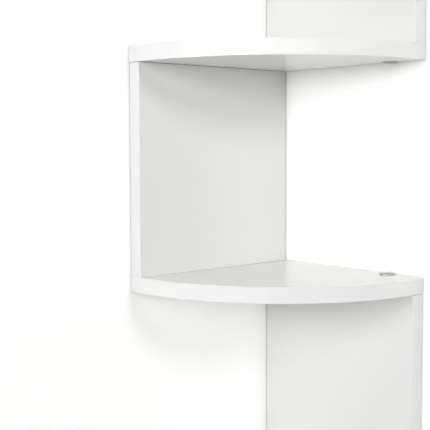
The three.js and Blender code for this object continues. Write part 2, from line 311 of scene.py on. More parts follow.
@dataclass(frozen=True)
class Finish:
    """What every finish of the unit has. Depths of relief are in metres."""

    name: str
    effects: SurfaceEffects
    roughness: float = 0.4  # of the clean surface
    ior: float = 1.5

    def surface(self, graph: Graph, colour: NodeSocket, height: NodeSocket) -> Node:
        """Adds the Principled shader, its bump and the output.

        Args:
            graph: The material's graph.
            colour: Source of the colour.
            height: Source of the relief, in metres.

        Returns:
            The shader's node.
        """
        bump = graph.add("Bump", {"Height": height, "Distance": 1.0}).outputs[0]
        inputs = {"Base Color": colour, "Normal": bump, "Roughness": self.roughness, "IOR": self.ior}
        shader = graph.add("BsdfPrincipled", inputs)
        graph.add("OutputMaterial", {"Surface": shader.outputs[0]})
        return shader


@dataclass(frozen=True)
class WhiteSheet(Finish):
    """White laminate or edging: almost even, finely rippled, a little worn at its arrises."""

    colour: Colour = (0.782, 0.782, 0.773)
    shaded: Colour = (0.764, 0.765, 0.753)  # where its tone is lowest
    worn: Colour = (0.76, 0.75, 0.72)
    mark_roughness: float = 0.255
    ripple_depth: float = 1.5e-6
    wave_depth: float = 5e-6
    wear_amount: float = 0.5  # from 0 to 1

    def build(self) -> Material:
        """Builds the material.

        Returns:
            The material.
        """
        material, graph = blank_material(self.name)
        depths = {"ripple_depth": self.ripple_depth, "wave_depth": self.wave_depth}
        relief = self.effects.relief.place(graph, **depths)
        wear = self.effects.wear.place(graph, amount=self.wear_amount)
        marks = self.effects.marks.place(graph, amount=1.0)
        toned = graph.blend(relief.outputs["Tone"], self.shaded, self.colour)
        colour = graph.blend(wear.outputs["Wear"], toned, self.worn)
        shader = self.surface(graph, colour, relief.outputs["Height"])
        rough = graph.ramp(marks.outputs["Mark"], results=(self.roughness, self.mark_roughness))
        graph.feed(shader.inputs["Roughness"], rough)
        return material


@dataclass(frozen=True)
class ParticleBoard(Finish):
    """The pressed wood chips of a board's core, bare at its hidden edges and in its holes."""

    pale: Colour = (0.66, 0.50, 0.32)
    dark: Colour = (0.40, 0.26, 0.14)
    resin: Colour = (0.30, 0.20, 0.115)  # in the gaps between the chips
    chip_size: float = 1.5 * MM
    chip_flatness: float = 2.2  # how much thinner than long the chips lie
    chip_share: float = 0.7  # of a chip's own tone in its colour
    fibre_size: float = 0.3 * MM
    fibre_share: float = 0.4
    gap_width: float = 0.09  # in chips
    gap_depth: float = 6e-5
    ripple_depth: float = 2e-5

    def build(self) -> Material:
        """Builds the material.

        Returns:
            The material.
        """
        material, graph = blank_material(self.name)
        squeeze = {"Vector": graph.coordinates(), "Scale": (1.0, 1.0, self.chip_flatness)}
        flat = graph.add("Mapping", squeeze).outputs[0]
        warp = graph.add("TexNoise", {"Vector": flat, "Scale": 1.0 / self.chip_size})
        shift = {0: warp.outputs["Color"], 1: (self.chip_size,) * 3, 2: flat}
        shifted = graph.add("VectorMath", shift, operation="MULTIPLY_ADD").outputs[0]
        chips = {"Vector": shifted, "Scale": 1.0 / self.chip_size}
        own = graph.add("TexVoronoi", chips).outputs["Color"]
        edge = graph.add("TexVoronoi", chips, feature="DISTANCE_TO_EDGE").outputs["Distance"]
        tone = graph.add("SeparateColor", {0: own}).outputs[0]
        fibre = graph.noise(flat, self.fibre_size, detail=3.0)
        fibres = graph.math("MULTIPLY", fibre, self.fibre_share)
        mixed = graph.math("MULTIPLY_ADD", tone, self.chip_share, fibres)
        inside = graph.ramp(edge, (0.0, self.gap_width))
        colour = graph.blend(inside, self.resin, graph.blend(mixed, self.pale, self.dark))
        relief = self.effects.relief.place(graph, ripple_depth=self.ripple_depth, wave_depth=0.0)
        height = graph.math("MULTIPLY_ADD", inside, self.gap_depth, relief.outputs["Height"])
        self.surface(graph, colour, height)
        return material


@dataclass(frozen=True)
class PlatedSteel(Finish):
    """Nickel-plated steel: turned or pressed, with fine tool lines and rubbed arrises."""

    colour: Colour = (0.40, 0.395, 0.385)
    dull: Colour = (0.33, 0.325, 0.315)
    rubbed: Colour = (0.52, 0.515, 0.50)  # on an arris
    edge_tint: Colour = (0.8, 0.8, 0.8)  # of what it reflects at a low angle
    dull_roughness: float = 0.42
    dull_amount: float = 0.8
    rubbed_amount: float = 0.9
    line_pitch: float = 1.3823 * MM  # of the tool lines
    line_depth: float = 2.5e-6
    ripple_depth: float = 1e-6

    def build(self) -> Material:
        """Builds the material.

        Returns:
            The material.
        """
        material, graph = blank_material(self.name)
        marks = self.effects.marks.place(graph, amount=self.dull_amount).outputs["Mark"]
        wear = self.effects.wear.place(graph, amount=self.rubbed_amount).outputs["Wear"]
        colour = graph.blend(wear, graph.blend(marks, self.colour, self.dull), self.rubbed)
        lines = {"Vector": graph.coordinates(), "Scale": WAVE_LENGTH / self.line_pitch}
        lines |= {"Distortion": 1.5, "Detail": 2.0}
        rings = graph.add("TexWave", lines, wave_type="RINGS", rings_direction="Z").outputs["Fac"]
        relief = self.effects.relief.place(graph, ripple_depth=self.ripple_depth, wave_depth=0.0)
        height = graph.math("MULTIPLY_ADD", rings, self.line_depth, relief.outputs["Height"])
        shader = self.surface(graph, colour, height)
        rough = graph.ramp(marks, results=(self.roughness, self.dull_roughness))
        graph.feed(shader.inputs["Roughness"], rough)
        shader.inputs["Metallic"].default_value = 1.0
        shader.inputs["Specular Tint"].default_value = (*self.edge_tint, 1.0)
        return material


@dataclass(frozen=True)
class Beech(Finish):
    """Plain beech, with its grain and short dark flecks along the dowel."""

    pale: Colour = (0.62, 0.42, 0.25)
    grain: Colour = (0.47, 0.29, 0.155)
    fleck: Colour = (0.25, 0.13, 0.06)
    grain_size: float = 1.1 * MM
    grain_depth: float = 2e-5
    ripple_depth: float = 1e-5
    stretch: float = 12.0  # how much longer than wide the grain runs
    fleck_limits: Pair = (0.05, 0.16)  # from a fleck's middle, in grain sizes
    fleck_share: float = 0.7

    def build(self) -> Material:
        """Builds the material.

        Returns:
            The material.
        """
        material, graph = blank_material(self.name)
        pull = {"Vector": graph.coordinates(), "Scale": (1.0, 1.0, 1.0 / self.stretch)}
        long = graph.add("Mapping", pull).outputs[0]
        lines = graph.noise(long, self.grain_size, detail=4.0, rough=0.6)
        spots = graph.add("TexVoronoi", {"Vector": long, "Scale": 1.0 / self.grain_size})
        fleck = graph.ramp(spots.outputs["Distance"], self.fleck_limits, (self.fleck_share, 0.0))
        colour = graph.blend(fleck, graph.blend(lines, self.pale, self.grain), self.fleck)
        relief = self.effects.relief.place(graph, ripple_depth=self.ripple_depth, wave_depth=0.0)
        height = graph.math("MULTIPLY_ADD", lines, self.grain_depth, relief.outputs["Height"])
        self.surface(graph, colour, height)
        return material


class Palette:
    """The finishes as materials, built once."""

    def __init__(self) -> None:
        """Builds each material."""
        effects = SurfaceEffects()
        self.laminate = WhiteSheet("white_laminate", effects, roughness=0.24).build()
        self.edging = WhiteSheet(
            "white_edging",
            effects,
            roughness=0.28,
            colour=(0.76, 0.762, 0.766),
            shaded=(0.75, 0.752, 0.756),
            mark_roughness=0.3,
            wave_depth=4e-6,
        ).build()
        self.glue = WhiteSheet(
            "glue_line",
            effects,
            roughness=0.5,
            colour=(0.72, 0.70, 0.63),
            shaded=(0.58, 0.55, 0.47),
            mark_roughness=0.55,
            wear_amount=0.0,
        ).build()
        self.core = ParticleBoard("bare_particle_board", effects, roughness=0.85).build()
        self.steel = PlatedSteel("nickel_plated_steel", effects, roughness=0.31).build()
        self.beech = Beech("plain_beech", effects, roughness=0.6).build()


# Meshes


class Draft:
    """A mesh under construction: points, and faces that each have a finish."""

    def __init__(self) -> None:
        """Starts with nothing."""
        self.points: list[Vector] = []
        self.arris: list[float] = []
        self.faces: list[list[int]] = []
        self.finishes: list[int] = []

    def point(self, place: Vector, arris: float) -> int:
        """Adds a point.

        Args:
            place: Where it is.
            arris: 1 on an arris that wears, 0 away from one.

        Returns:
            Its number.
        """
        self.points.append(place)
        self.arris.append(arris)
        return len(self.points) - 1

    def face(self, corners: Sequence[int], finish: int = 0) -> None:
        """Adds a face, from the numbers of its points and of its material."""
        self.faces.append(list(corners))
        self.finishes.append(finish)

    def loft(
        self,
        rings: Sequence[Sequence[Vector]],
        finish_at: Callable[[int, int], int] = lambda ring, side: 0,
        arris_at: Callable[[int, int], float] = lambda ring, corner: 0.0,
    ) -> "Draft":
        """Adds a closed skin over rings that all have the same number of points.

        Args:
            rings: The rings, each a list of points. The first and the last are capped.
            finish_at: Finish of the face after a ring and a corner.
            arris_at: Arris value of a ring's corner.

        Returns:
            The draft.
        """
        count = len(rings[0])
        numbers = []
        for ring, places in enumerate(rings):
            for corner, place in enumerate(places):
                numbers.append(self.point(place, arris_at(ring, corner)))
        for ring in range(len(rings) - 1):
            for corner in range(count):
                here = numbers[ring * count + corner]
                beside = numbers[ring * count + (corner + 1) % count]
                self.face([here, beside, beside + count, here + count], finish_at(ring, corner))
        self.face(numbers[:count][::-1])
        self.face(numbers[-count:])
        return self

    def turn(
        self,
        profile: Sequence[Pair],
        sides: int,
        arris_at: Callable[[int], float] = lambda ring: 0.0,
        radius_at: Callable[[float, float, float], float] = lambda radius, height, angle: radius,
    ) -> "Draft":
        """Adds a turned piece about the Z axis.

        Args:
            profile: Radius and height of each ring. The first and the last lie on the axis.
            sides: Number of points in a ring.
            arris_at: Arris value of a ring.
            radius_at: Radius to use for a ring's radius, height and angle.

        Returns:
            The draft.
        """
        rings = []
        for number, (radius, height) in enumerate(profile):
            if radius == 0.0:
                rings.append([self.point(UP * height, arris_at(number))] * sides)
                continue
            ring = []
            for side in range(sides):
                angle = math.tau * side / sides
                reach = radius_at(radius, height, angle)
                place = Vector((reach * math.cos(angle), reach * math.sin(angle), height))
                ring.append(self.point(place, arris_at(number)))
            rings.append(ring)
        for lower, upper in zip(rings, rings[1:]):
            for side in range(sides):
                after = (side + 1) % sides
                corners = [lower[side], lower[after], upper[after], upper[side]]
                self.face(list(dict.fromkeys(corners)))  # a point on the axis counts once
        return self

    def moved(self, matrix: Matrix) -> "Draft":
        """Moves every point, and gives the draft."""
        self.points = [matrix @ place for place in self.points]
        return self

    def mesh(self, name: str, finishes: Sequence[Material]) -> Mesh:
        """Makes the mesh.

        Args:
            name: The mesh's name.
            finishes: Its materials, in the order that the faces number them.

        Returns:
            The mesh, with its faces pointing out.
        """
        made = bpy.data.meshes.new(name)
        made.from_pydata([tuple(place) for place in self.points], [], self.faces)
        for finish in finishes:
            made.materials.append(finish)
        made.polygons.foreach_set("material_index", self.finishes)
        layer = made.attributes.new(ARRIS_LAYER, "FLOAT", "POINT")
        layer.data.foreach_set("value", self.arris)
        shape = bmesh.new()
        shape.from_mesh(made)
        bmesh.ops.recalc_face_normals(shape, faces=shape.faces)
        shape.to_mesh(made)
        shape.free()
        smooth(made)
        return made


def smooth(mesh: Mesh) -> None:
    """Shades a mesh smooth, except across its sharp edges."""
    mesh.shade_smooth()
    mesh.set_sharp_from_angle(angle=SMOOTH_BELOW)


def arc(middle: Place, radius: float, start: float, sweep: float, steps: int) -> list[Vector]:
    """Gives points along a level arc.

    Args:
        middle: The arc's middle.
        radius: Its radius.
        start: Angle at which it starts.
        sweep: Angle that it covers.
        steps: Number of its parts.

    Returns:
        The points, with both ends.
    """
    x, y, z = middle
    angles = (start + sweep * step / steps for step in range(steps + 1))
    return [Vector((x + radius * math.cos(angle), y + radius * math.sin(angle), z)) for angle in angles]


def oblong(half: float, low: float, high: float, level: float) -> list[Vector]:
    """Gives the corners of a level oblong, from -half to half in X and from low to high in Y."""
    return [Vector((x, y, level)) for x, y in ((-half, low), (half, low), (half, high), (-half, high))]


def groove(height: float, angle: float, pitch: float, depth: float, power: float = 1.0) -> float:
    """Gives how deep a thread is cut at a height and an angle, with a power to hollow it."""
    phase = (height / pitch - angle / math.tau) % 1.0
    return depth * (1 - abs(2 * phase - 1)) ** power


def bar(start: Vector, end: Vector, radius: float, sides: int, turn: float = 0.0) -> Draft:
    """Gives a round bar between two points, used as the cutter of a hole.

    Args:
        start: Middle of one end.
        end: Middle of the other end.
        radius: The bar's radius.
        sides: Number of its sides.
        turn: Angle of its first corner.

    Returns:
        The draft.
    """
    upright = UP.rotation_difference(end - start)
    ring = [upright @ corner for corner in arc(ORIGIN, radius, turn, math.tau, sides)[:-1]]
    return Draft().loft([[middle + corner for corner in ring] for middle in (start, end)])


def prism(outline: Sequence[Vector], depth: Vector) -> Draft:
    """Gives a prism from an outline and its depth, used as the cutter of a recess."""
    return Draft().loft([list(outline), [corner + depth for corner in outline]])


def new_object(name: str, data: object) -> Object:
    """Puts a mesh, a light or a camera in the scene.

    Args:
        name: The object's name.
        data: What it shows.

    Returns:
        The object.
    """
    made = bpy.data.objects.new(name, data)
    bpy.context.scene.collection.objects.link(made)
    return made


def cut(mesh: Mesh, cutters: Sequence[Draft], inside: Material) -> Mesh:
    """Cuts holes and recesses.

    Args:
        mesh: The mesh to cut.
        cutters: What is taken away, one after the other.
        inside: Finish of the new faces.

    Returns:
        The mesh that is left.
    """
    body = new_object("body_to_cut", mesh)
    tools = [new_object("cutter", cutter.mesh("cutter", [inside])) for cutter in cutters]
    for tool in tools:
        step = body.modifiers.new("cut", "BOOLEAN")
        step.operation = "DIFFERENCE"
        step.solver = "EXACT"
        step.material_mode = "TRANSFER"
        step.object = tool
    graph = bpy.context.evaluated_depsgraph_get()
    result = bpy.data.meshes.new_from_object(
        body.evaluated_get(graph), preserve_all_data_layers=True, depsgraph=graph
    )
    result.name = mesh.name
    for made in [body, *tools]:
        spent = made.data
        bpy.data.objects.remove(made)
        bpy.data.meshes.remove(spent)
    smooth(result)
    return result


def piece(name: str, mesh: Mesh, node: str, slot: Slot, matrix: Optional[Matrix] = None) -> None:
    """Puts a finished piece in the place of its CAD node.

    Args:
        name: The piece's name.
        mesh: Its mesh.
        node: The CAD node that it stands for.
        slot: The record's material slot; not used.
        matrix: Its place, where its mesh isn't made in place.
    """
    made = new_object(name, mesh)
    if matrix is not None:
        made.matrix_world = matrix
    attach(made, ROOT)
    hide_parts(node)
    log.info("%s stands for %s, %d faces", name, node, len(mesh.polygons))


def standing(origin: Vector, axis: Vector, side: Vector) -> Matrix:
    """Gives the place of a piece, from its origin and the directions of its Z and Y axes."""
    turned = Matrix((side.cross(axis), side, axis)).transposed().to_4x4()
    return Matrix.Translation(origin) @ turned


@lru_cache(maxsize=None)
def node_box(node: str) -> tuple[Vector, Vector]:
    """Gives a CAD node's lowest and highest corner."""
    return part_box(node)


def middle_of(node: str) -> Vector:
    """Gives the middle of a CAD node's box."""
    low, high = node_box(node)
    return (low + high) / 2


# Edge bands


@dataclass(frozen=True)
class Station:
    """A place on an edge band's path, on its outer face and on one face of the board."""

    point: Vector
    inward: Vector  # into the board
    across: Vector  # across the board's thickness
    inset: float = 0.0  # how much smaller the band is here, at an eased end


@dataclass(frozen=True)
class EdgeBand:
    """The edging that is glued to each board edge that shows."""

    thickness: float = 1.0 * MM
    glue_line: float = 0.1 * MM  # between the band and the board
    glue_depth: float = 0.04 * MM  # of the glue below the board's face
    arris_radius: float = 0.45 * MM
    arris_steps: int = 5
    ease: float = 0.12 * MM  # rounding of its ends
    seat: float = 0.01 * MM  # how far the glue stays clear of the board

    @property
    def depth(self) -> float:
        """From the band's outer face to the board's own edge."""
        return self.thickness + self.glue_line

    def section(self, width: float) -> list[tuple[float, float, float]]:
        """Gives the band's section, from one face of the board round to the other.

        Args:
            width: The board's thickness.

        Returns:
            Depth, place across and arris value of each corner.
        """
        radius = self.arris_radius
        half = [
            (self.depth - self.seat, self.glue_depth, 0.0),
            (self.thickness, self.glue_depth, 0.0),
            (self.thickness, 0.0, 0.0),
            (radius + HOLD, 0.0, 0.0),
        ]
        for step in range(self.arris_steps + 1):
            angle = QUARTER * step / self.arris_steps
            depth, across = radius * (1 - math.sin(angle)), radius * (1 - math.cos(angle))
            half.append((depth, across, math.sin(2 * angle)))
        half.append((0.0, radius + HOLD, 0.0))
        return half + [(depth, width - across, arris) for depth, across, arris in reversed(half)]

    def sweep(self, name: str, stations: Sequence[Station], width: float, palette: Palette) -> Mesh:
        """Sweeps the section along a path.

        Args:
            name: The mesh's name.
            stations: The path.
            width: The board's thickness.
            palette: The finishes.

        Returns:
            The band's mesh.
        """
        section = self.section(width)
        rings = []
        for station in stations:
            inset = station.inset
            ring = []
            for depth, across, _ in section:
                inward = station.inward * (inset + depth * (1 - inset / self.depth))
                sideways = station.across * (inset + across * (1 - 2 * inset / width))
                ring.append(station.point + inward + sideways)
            rings.append(ring)
        last = len(section) - 1
        glued = (0, 1, last - 2, last - 1)  # the glue line's faces, on each face of the board
        draft = Draft().loft(
            rings,
            finish_at=lambda ring, side: int(side in glued),
            arris_at=lambda ring, corner: section[corner][2],
        )
        return draft.mesh(name, [palette.edging, palette.glue])


# Boards


@dataclass(frozen=True)
class BoardMake:
    """How every board is made up, and how its bare edges at the wall are broken."""

    skin: float = 0.3 * MM  # laminate on each face
    broken: float = 0.7 * MM  # broken arris along a bare edge
    settled: float = 0.13 * MM  # how far a panel is let down onto the shelf below it

    def layers(self, thickness: float) -> list[Pair]:
        """Gives the levels through a board, with how far a bare edge is set back at each."""
        half = [(0.0, self.broken), (self.skin, self.broken - self.skin), (self.broken, 0.0)]
        return half + [(thickness - level, inset) for level, inset in reversed(half)]

    def mesh(
        self,
        name: str,
        thickness: float,
        outline: Callable[[float, float], list[Vector]],
        palette: Palette,
    ) -> Mesh:
        """Makes a board: laminate on both faces and bare core at the edges.

        Args:
            name: The mesh's name.
            thickness: The board's thickness.
            outline: Gives its corners at a level, with its bare edges set back by an inset.
            palette: The finishes.

        Returns:
            The mesh.
        """
        rings = [outline(level, inset) for level, inset in self.layers(thickness)]
        last = len(rings) - 2  # the side faces of the last skin
        draft = Draft().loft(rings, finish_at=lambda ring, side: int(0 < ring < last))
        return draft.mesh(name, [palette.laminate, palette.core])


@dataclass(frozen=True)
class Joinery:
    """The holes that the connectors need, which shelves and panels share."""

    bolt_hole: float = 7 * MM
    bolt_hole_depth: float = 37.5 * MM  # in a panel's end
    dowel_hole: float = 8.4 * MM
    dowel_hole_in_shelf: float = 11.8 * MM
    dowel_hole_in_panel: float = 19.5 * MM
    nut_hole: float = 10.4 * MM
    nut_cover: float = 1.3 * MM  # board left at that hole's blind end
    sides: int = 40

    def hole(self, start: Vector, end: Vector, diameter: float) -> Draft:
        """Gives the cutter of a hole between two points."""
        return bar(start, end, diameter / 2, self.sides)


@dataclass(frozen=True)
class Board:
    """What a shelf and a side panel share."""

    number: int
    palette: Palette
    band: EdgeBand = EdgeBand()
    joinery: Joinery = Joinery()
    make: BoardMake = BoardMake()


@dataclass(frozen=True)
class Shelf(Board):
    """A quarter-round shelf, numbered from 1: its board and the band round its front."""

    arc_steps: int = 144

    @property
    def node(self) -> str:
        """The board's CAD node."""
        return f"shelf_{self.number}"

    @property
    def low(self) -> float:
        """Height of the shelf's underside."""
        return node_box(self.node)[0].z

    @property
    def thickness(self) -> float:
        """Thickness of the shelf."""
        return node_box(self.node)[1].z - self.low

    @property
    def reach(self) -> float:
        """From the corner line to the shelf's flat end."""
        return node_box(f"{self.node}_front_band")[1].x

    def front(self) -> list[tuple[Vector, Vector]]:
        """Gives the front outline, from the right wall round to the left wall.

        Returns:
            Each point, with the direction out of the shelf.
        """
        flat = self.thickness  # each flat end is as long as the board is thick
        middle = Vector((flat, -flat, 0.0))
        line = [(Wall.RIGHT.along * self.reach, Wall.RIGHT.along)]
        for outward in arc(ORIGIN, 1.0, 0.0, -QUARTER, self.arc_steps):
            line.append((middle + outward * (self.reach - flat), outward))
        line.append((Wall.LEFT.along * self.reach, Wall.LEFT.along))
        return line

    def board_mesh(self) -> Mesh:
        """Makes the board and drills it.

        Returns:
            The mesh.
        """
        front = [point - outward * self.band.depth for point, outward in self.front()]
        # Each corner goes with the direction in which a bare edge is set back there.
        corners = [(Vector(), Wall.LEFT.out + Wall.RIGHT.out), (front[0], Wall.RIGHT.out)]
        corners += [(point, Vector()) for point in front[1:-1]]
        corners.append((front[-1], Wall.LEFT.out))

        def outline(level: float, inset: float) -> list[Vector]:
            """Gives the corners at a level, with the edges at both walls set back."""
            return [place + out * inset + UP * (self.low + level) for place, out in corners]

        mesh = self.make.mesh(f"{self.node}_board", self.thickness, outline, self.palette)
        return cut(mesh, self._holes(), self.palette.core)

    def _holes(self) -> list[Draft]:
        """Gives the cutters of the bolt holes, which go through, and of the dowel holes.

        Returns:
            The cutters.
        """
        joinery = self.joinery
        top = self.low + self.thickness
        cutters = []
        for direction in Direction:
            joint = f"{self.node}_{direction.value}"
            bolt, dowel = (middle_of(f"{kind}_{joint}").xy.to_3d() for kind in ("bolt", "dowel"))
            below, above = bolt + UP * (self.low - OVERRUN), bolt + UP * (top + OVERRUN)
            cutters.append(joinery.hole(below, above, joinery.bolt_hole))
            mouth = dowel + UP * (top if direction is Direction.GOES_UP else self.low)
            floor = mouth - direction.axis * joinery.dowel_hole_in_shelf
            cutters.append(joinery.hole(floor, mouth + direction.axis * OVERRUN, joinery.dowel_hole))
        return cutters

    def band_mesh(self) -> Mesh:
        """Makes the band round the front, with its two ends eased.

        Returns:
            The mesh.
        """
        ease = self.band.ease
        stations = [Station(point + UP * self.low, -outward, UP) for point, outward in self.front()]
        right, left = stations[0], stations[-1]
        from_right = replace(right, point=right.point + Wall.RIGHT.out * ease)
        from_left = replace(left, point=left.point + Wall.LEFT.out * ease)
        stations[:1] = [replace(right, inset=ease), from_right]
        stations[-1:] = [from_left, replace(left, inset=ease)]
        return self.band.sweep(f"{self.node}_front_edging", stations, self.thickness, self.palette)

    def build(self) -> None:
        """Builds the shelf's two pieces."""
        piece(f"{self.node}_board", self.board_mesh(), self.node, Slot.LAMINATE)
        piece(f"{self.node}_front_edging", self.band_mesh(), f"{self.node}_front_band", Slot.EDGING)


@dataclass(frozen=True)
class Hanger:
    """A keyhole hanger let into the back of a panel, with its two countersunk screws.

    It is made about its own Z axis, which points to the wall from the plate's inner face.
    """

    wall: Wall
    palette: Palette
    plate_width: float = 18 * MM
    plate_height: float = 46 * MM
    plate_thickness: float = 1.5 * MM
    plate_bevel: float = 0.25 * MM
    bevel_wear: float = 0.3  # arris value at the bevel's outer edge
    end_steps: int = 24
    keyhole: float = 9.5 * MM  # diameter of its round part
    slot_width: float = 4.8 * MM
    drop: float = 3 * MM  # from the plate's middle down to the middle of the round part
    rise: float = 11 * MM  # from there to the upper end of the slot
    pocket_depth: float = 7 * MM  # in the panel, for the wall screw's head
    pocket_margin: float = 1.5 * MM  # of the pocket round the keyhole
    fit: float = 0.2 * MM  # gap round the plate and the screws
    screw_spacing: float = 34 * MM
    screw_diameter: float = 3 * MM
    screw_length: float = 11 * MM
    screw_head: float = 5.6 * MM
    screw_head_height: float = 1.3 * MM
    screw_tip: float = 2.5 * MM  # length of its point
    thread_pitch: float = 1.2 * MM
    thread_depth: float = 0.4 * MM
    hollow: float = 1.5  # power that hollows the thread's flanks, and is 1 for straight ones
    thread_rings: int = 6  # rings of faces in one turn of the thread
    cross_length: float = 2.8 * MM
    cross_width: float = 0.7 * MM
    cross_depth: float = 0.9 * MM
    sides: int = 32

    @property
    def node(self) -> str:
        """The plate's CAD node."""
        return f"{self.wall.value}_keyhole_hanger"

    @property
    def matrix(self) -> Matrix:
        """The hanger's place."""
        inner = middle_of(self.node) + self.wall.out * (self.plate_thickness / 2)
        return standing(inner, -self.wall.out, UP)

    @property
    def rises(self) -> dict[str, float]:
        """Each screw's place above the plate's middle, by name."""
        return {"lower": -self.screw_spacing / 2, "upper": self.screw_spacing / 2}

    def outline(self, margin: float, height: float) -> list[Vector]:
        """Gives the plate's outline with round ends.

        Args:
            margin: How far it is let out.
            height: Its height along the plate's own Z axis.

        Returns:
            The corners.
        """
        radius = self.plate_width / 2 + margin
        corners = []
        for side, start in ((1, 0.0), (-1, math.pi)):
            middle = (0.0, side * (self.plate_height - self.plate_width) / 2, height)
            corners += arc(middle, radius, start, math.pi, self.end_steps)
        return corners

    def keyhole_outline(self, height: float) -> list[Vector]:
        """Gives the keyhole's outline, at a height along the plate's own Z axis.

        Args:
            height: Its height there.

        Returns:
            The corners.
        """
        half = self.slot_width / 2
        mouth = math.asin(2 * half / self.keyhole)
        slot_end = (0.0, self.rise - half - self.drop, height)
        middle = (0.0, -self.drop, height)
        slot = arc(slot_end, half, 0.0, math.pi, self.end_steps)
        sweep = math.tau - 2 * mouth
        return slot + arc(middle, self.keyhole / 2, QUARTER + mouth, sweep, self.end_steps)

    def seat(self) -> list[Draft]:
        """Gives the cutters of the recess, of the pocket behind the keyhole and of the pilots.

        Returns:
            The cutters, in the frame.
        """
        back = self.plate_thickness  # level of the panel's back
        half = self.keyhole / 2 + self.pocket_margin
        top = self.rise - self.drop + self.pocket_margin
        pocket = oblong(half, -self.drop - half, top, back - self.pocket_depth)
        cutters = [
            prism(self.outline(self.fit, -self.fit), UP * (self.fit + back + OVERRUN)),
            prism(pocket, UP * (self.pocket_depth - back / 2)),
        ]
        for rise in self.rises.values():
            mouth = Vector((0.0, rise, 0.0))
            floor = mouth + UP * (back - self.screw_length - self.fit)
            cutters.append(bar(floor, mouth, self.screw_diameter / 2 + self.fit, self.sides))
        return [cutter.moved(self.matrix) for cutter in cutters]

    def plate_mesh(self) -> Mesh:
        """Makes the plate, with its keyhole and its countersinks.

        Returns:
            The mesh.
        """
        bevel, thickness = self.plate_bevel, self.plate_thickness
        levels = ((-bevel, 0.0), (0.0, bevel), (0.0, thickness - bevel), (-bevel, thickness))
        plate = Draft().loft(
            [self.outline(margin, height) for margin, height in levels],
            arris_at=lambda ring, corner: self.bevel_wear if levels[ring][0] == 0.0 else 1.0,
        )
        mesh = plate.mesh(f"{self.wall.value}_hanger_plate", [self.palette.steel])
        cutters = [prism(self.keyhole_outline(-OVERRUN), UP * (thickness + 2 * OVERRUN))]
        shank, head = (diameter / 2 + self.fit for diameter in (self.screw_diameter, self.screw_head))
        sink = [(0.0, -OVERRUN), (shank, -OVERRUN), (shank, thickness - self.screw_head_height)]
        sink += [(head, thickness), (head, thickness + OVERRUN), (0.0, thickness + OVERRUN)]
        for rise in self.rises.values():
            place = Matrix.Translation((0.0, rise, 0.0))
            cutters.append(Draft().turn(sink, self.sides).moved(place))
        return cut(mesh, cutters, self.palette.steel)

    def screw_mesh(self) -> Mesh:
        """Makes a screw: countersunk head with a cross, coarse thread and a point.

        Returns:
            The mesh, with the flat of its head at z = 0 and its point below.
        """
        shank, head = self.screw_diameter / 2, self.screw_head / 2
        top = -self.screw_head_height
        tip = self.screw_tip - self.screw_length
        steps = round((top - tip) / self.thread_pitch * self.thread_rings)
        profile = [(0.0, -self.screw_length), (shank / 2, (tip - self.screw_length) / 2)]
        profile += [(shank, tip + (top - tip) * step / steps) for step in range(steps + 1)]
        profile += [(head, -HOLD), (head, 0.0), (0.0, 0.0)]

        def threaded(radius: float, height: float, angle: float) -> float:
            """Cuts the thread into the shank, up to one turn below the head."""
            cuts = radius == shank and height < top - self.thread_pitch
            return radius - cuts * groove(height, angle, self.thread_pitch, self.thread_depth, self.hollow)

        body = Draft().turn(profile, self.sides, radius_at=threaded)
        mesh = body.mesh("hanger_screw", [self.palette.steel])
        long, thin = self.cross_length / 2, self.cross_width / 2
        cross = [oblong(x, -y, y, -self.cross_depth) for x, y in ((long, thin), (thin, long))]
        depth = UP * (2 * self.cross_depth)
        return cut(mesh, [prism(slot, depth) for slot in cross], self.palette.steel)

    def build(self) -> None:
        """Builds the plate and its screws."""
        name = f"{self.wall.value}_hanger"
        piece(f"{name}_plate", self.plate_mesh(), self.node, Slot.STEEL, self.matrix)
        screw = self.screw_mesh()
        for place, rise in self.rises.items():
            matrix = self.matrix @ Matrix.Translation((0.0, rise, self.plate_thickness))
            piece(f"{name}_plate_screw_{place}", screw, f"{name}_screw_{place}", Slot.STEEL, matrix)


